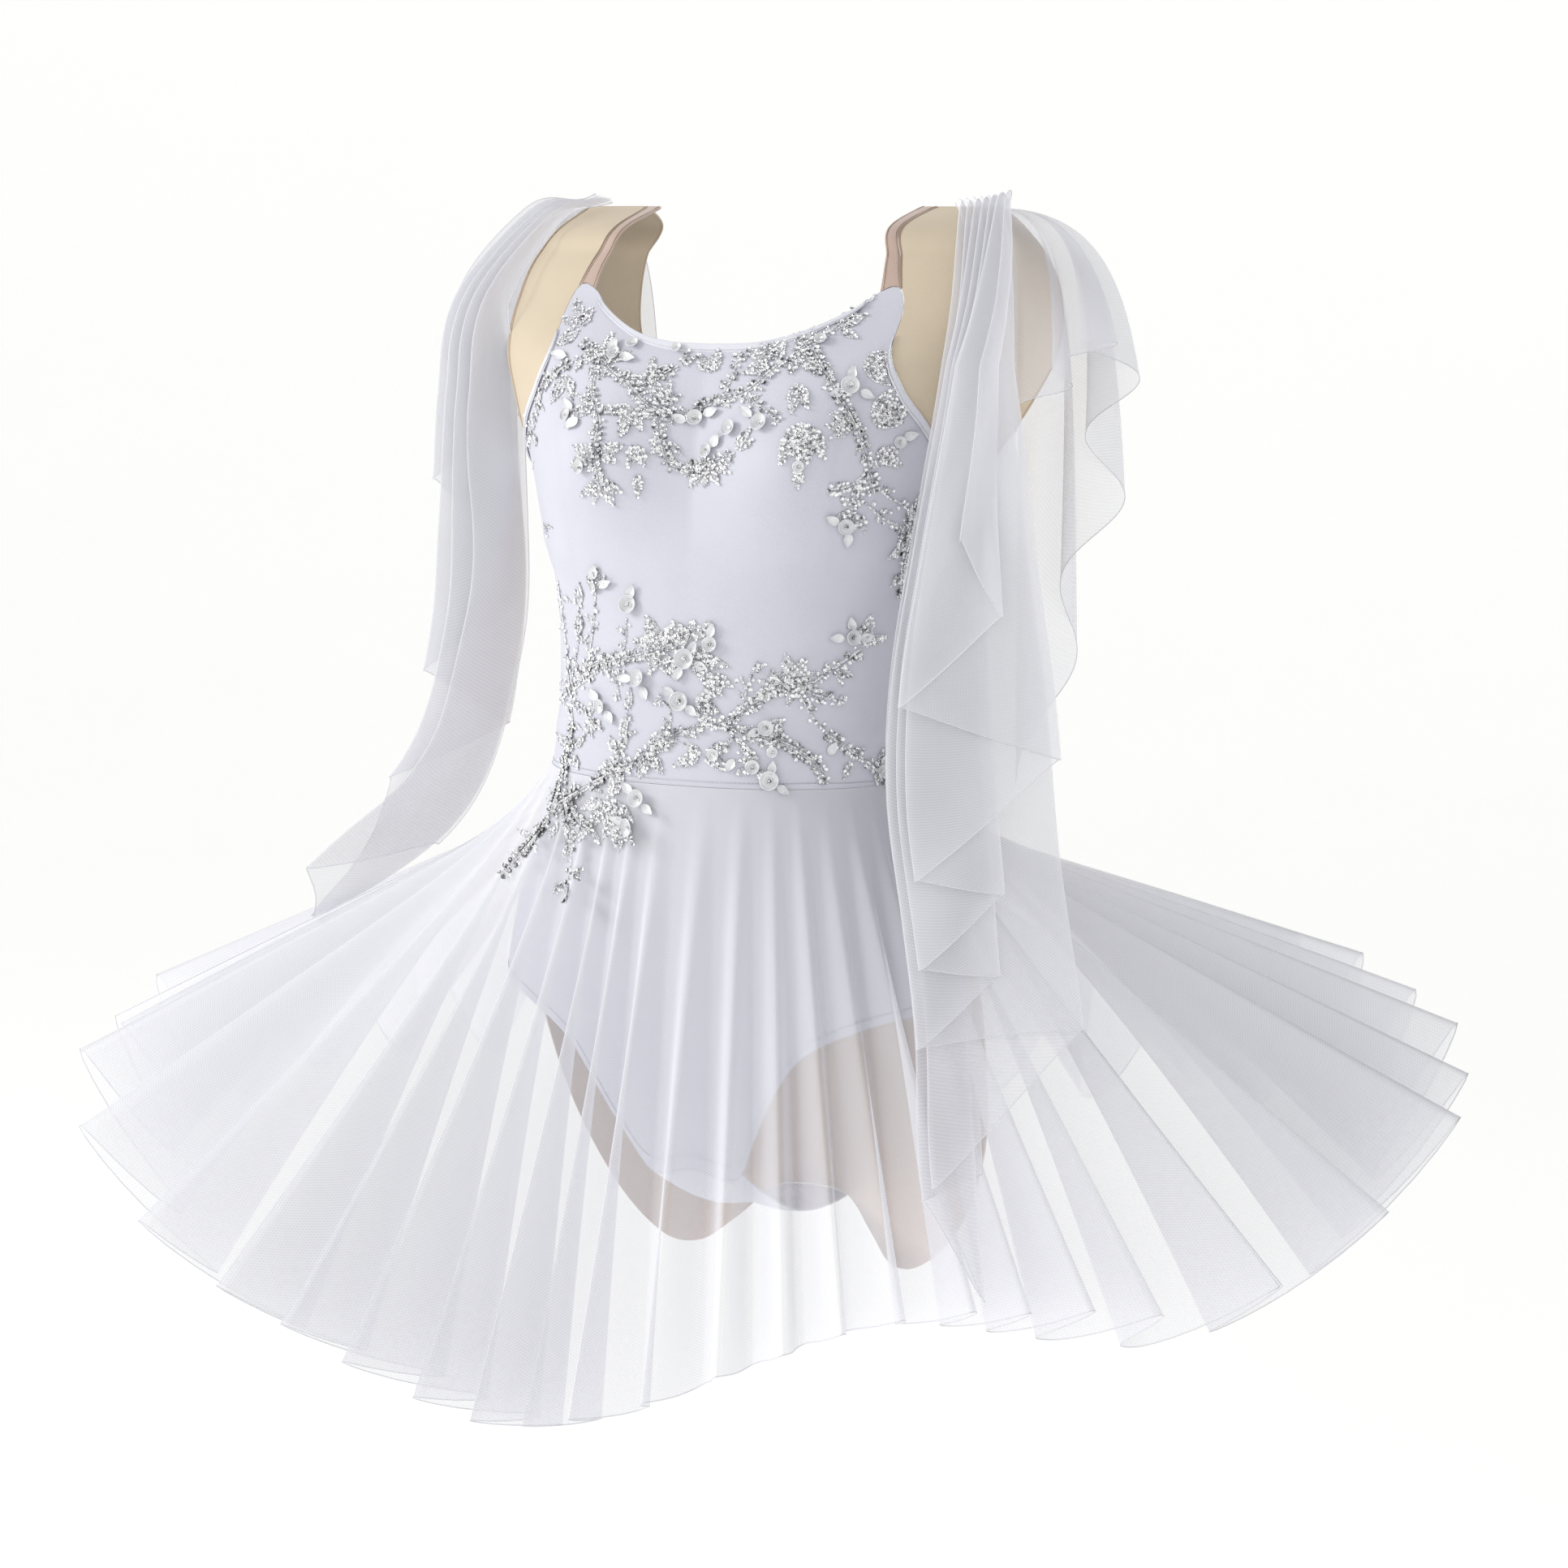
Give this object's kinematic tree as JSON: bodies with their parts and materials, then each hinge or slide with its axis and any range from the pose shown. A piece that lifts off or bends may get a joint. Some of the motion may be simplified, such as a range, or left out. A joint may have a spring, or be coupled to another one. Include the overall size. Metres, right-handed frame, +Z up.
{
  "type": "dance leotard",
  "caption": "White camisole dance leotard as worn, with nude yokes, back and seat, a sheer circle skirt and long ruffled sheer shoulder drapes.",
  "frame": {"origin": "midway between the tops of the two shoulders, where the garment hangs from its wearer", "axes": "+Z up, +X towards the wearer's left, -Y out of the garment's front"},
  "size_m": [0.9298, 0.666, 0.7616],
  "materials": {
    "white_knit": "smooth matt stretch knit with a soft sheen",
    "nude_knit": "matt skin-toned stretch mesh",
    "strap_elastic": "plush elastic",
    "sheer_mesh": "fine soft sheer mesh with a dry hand",
    "beadwork": "silver seed beads and sequins on embroidered lace"
  },
  "bodies": {
    "root": {"bodice_front": "white_knit", "bodice_back": "nude_knit", "brief_front": "white_knit", "brief_seat": "nude_knit", "gusset": "white_knit", "neck_binding": "white_knit", "armhole_binding_left": "white_knit", "armhole_binding_right": "white_knit", "strap_left": "strap_elastic", "strap_right": "strap_elastic", "yoke_left": "nude_knit", "yoke_right": "nude_knit", "skirt_front": "sheer_mesh", "skirt_back": "sheer_mesh", "drape_front_left": "sheer_mesh", "drape_front_right": "sheer_mesh", "drape_back_left": "sheer_mesh", "drape_back_right": "sheer_mesh"}
  },
  "joints": []
}
